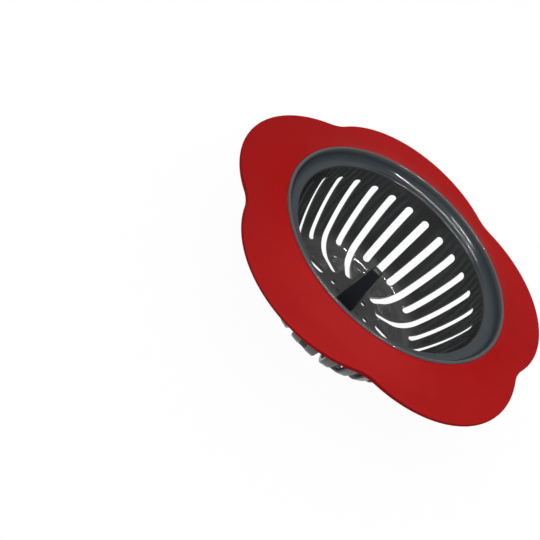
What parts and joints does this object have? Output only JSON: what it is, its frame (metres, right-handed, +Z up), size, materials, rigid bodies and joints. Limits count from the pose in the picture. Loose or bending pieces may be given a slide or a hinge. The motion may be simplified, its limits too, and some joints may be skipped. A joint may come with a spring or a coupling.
{
  "type": "sink strainer",
  "caption": "Kitchen sink strainer: slotted bowl-shaped basket with a dished, drilled floor, a grip post on its axis and a broad soft petal rim that covers the drain.",
  "frame": {"origin": "centre of the ring that the basket stands on, in that ring's plane", "axes": "+Z up along the strainer's axis, out of the mouth; +X along the middle of one petal"},
  "size_m": [0.1098, 0.1118, 0.0333],
  "materials": {
    "basket": "glossy charcoal moulding",
    "rim": "matte soft moulding",
    "post": "satin near-black moulding"
  },
  "bodies": {
    "root": {"basket": "basket", "petal_flange": "rim", "grip_post": "post"}
  },
  "joints": []
}
